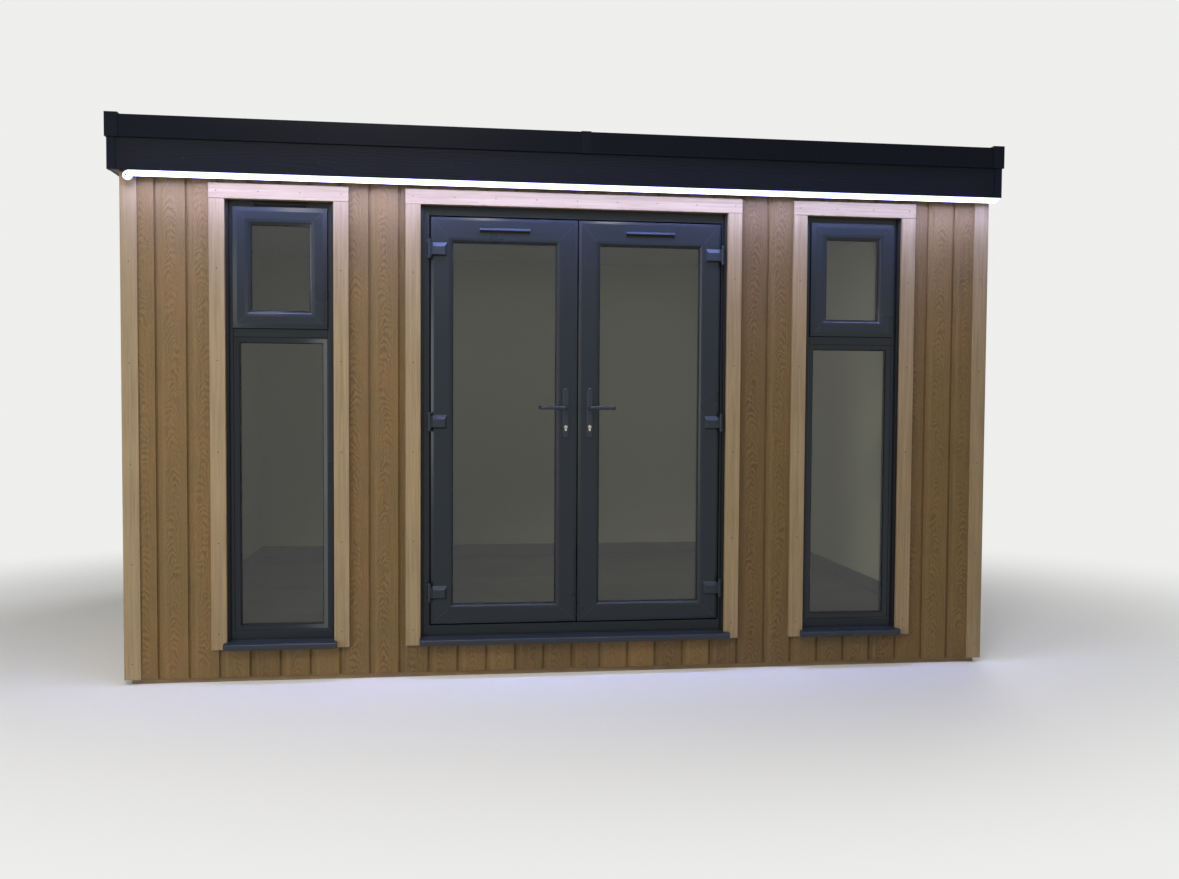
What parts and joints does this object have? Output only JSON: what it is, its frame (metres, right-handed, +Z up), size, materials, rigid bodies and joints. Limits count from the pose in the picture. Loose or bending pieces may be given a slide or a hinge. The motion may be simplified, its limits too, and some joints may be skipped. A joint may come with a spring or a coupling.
{
  "type": "garden office pod",
  "caption": "Flat-roofed garden office clad in vertical brown boards, with glazed French doors between two tall windows and a light strip under a dark roof edge.",
  "frame": {"origin": "on the ground, in the middle of the plan", "axes": "+X along the front to the right as seen from the front, +Y from the front to the back, +Z up"},
  "size_m": [4.3426, 3.1206, 2.648],
  "materials": {
    "base_timber": "rough sawn",
    "laminate": "satin laminate boards",
    "dark_skirting": "satin paint",
    "painted_lining": "matt paint on panels",
    "cladding": "brown composite boards with an embossed grain",
    "tan_trim": "light tan composite trim",
    "anthracite": "satin anthracite window profile",
    "glazing": "clear double glazing",
    "dark_hardware": "anthracite coated metal",
    "lock_metal": "satin nickel",
    "fascia_coat": "near black satin coat",
    "membrane": "matt",
    "light_tube": "lit diffuser, cool white"
  },
  "bodies": {
    "pod": {"front_bearer": "base_timber", "middle_bearer": "base_timber", "back_bearer": "base_timber", "floor_panel": "base_timber", "floor_boards": "laminate", "skirting": "dark_skirting", "front_wall_left_corner": "painted_lining", "front_wall_left_pier": "painted_lining", "front_wall_right_pier": "painted_lining", "front_wall_right_corner": "painted_lining", "front_wall_head": "painted_lining", "left_wall": "painted_lining", "right_wall": "painted_lining", "back_wall": "painted_lining", "front_cladding": "cladding", "left_cladding": "cladding", "right_cladding": "cladding", "back_cladding": "cladding", "corner_trims": "tan_trim", "door_surround": "tan_trim", "left_window_surround": "tan_trim", "right_window_surround": "tan_trim", "door_sill": "anthracite", "left_window_sill": "anthracite", "right_window_sill": "anthracite", "roof_panel": "fascia_coat", "ceiling_lining": "painted_lining", "roof_membrane": "membrane", "fascia_boards": "fascia_coat", "roof_edge_trims": "fascia_coat", "roof_trim_covers": "fascia_coat", "led_strip": "light_tube", "door_frame_left": "anthracite", "door_frame_right": "anthracite", "door_frame_head": "anthracite", "door_threshold": "anthracite", "frame_hinges": "dark_hardware", "left_window_frame": "anthracite", "left_window_sash": "anthracite", "left_window_glass": "glazing", "left_window_vent": "anthracite", "right_window_frame": "anthracite", "right_window_sash": "anthracite", "right_window_glass": "glazing"},
    "left_door_leaf": {"left_leaf_frame": "anthracite", "left_leaf_glass": "glazing", "left_leaf_vent": "anthracite", "left_leaf_hinges": "dark_hardware", "left_handle_plates": "dark_hardware", "left_lock_cylinder": "lock_metal"},
    "left_handle": {"left_lever": "dark_hardware"},
    "right_door_leaf": {"right_leaf_frame": "anthracite", "right_leaf_glass": "glazing", "right_leaf_vent": "anthracite", "right_leaf_hinges": "dark_hardware", "right_handle_plates": "dark_hardware", "right_lock_cylinder": "lock_metal"},
    "right_handle": {"right_lever": "dark_hardware"}
  },
  "joints": [
    {"name": "left_door", "type": "hinge", "parent": "pod", "child": "left_door_leaf", "pos_m": [-0.711, -1.5, 1.24175], "axis": [0, 0, -1], "range_deg": [0, 90]},
    {"name": "right_door", "type": "hinge", "parent": "pod", "child": "right_door_leaf", "pos_m": [0.729, -1.5, 1.24175], "axis": [0, 0, 1], "range_deg": [0, 90]},
    {"name": "left_lever_turn", "type": "hinge", "parent": "left_door_leaf", "child": "left_handle", "pos_m": [-0.05, -1.46, 1.313], "axis": [0, -1, 0], "range_deg": [0, 35], "stiffness_Nm_per_rad": 2.5, "springref_deg": -28.65},
    {"name": "right_lever_turn", "type": "hinge", "parent": "right_door_leaf", "child": "right_handle", "pos_m": [0.068, -1.46, 1.313], "axis": [0, 1, 0], "range_deg": [0, 35], "stiffness_Nm_per_rad": 2.5, "springref_deg": -28.65}
  ]
}
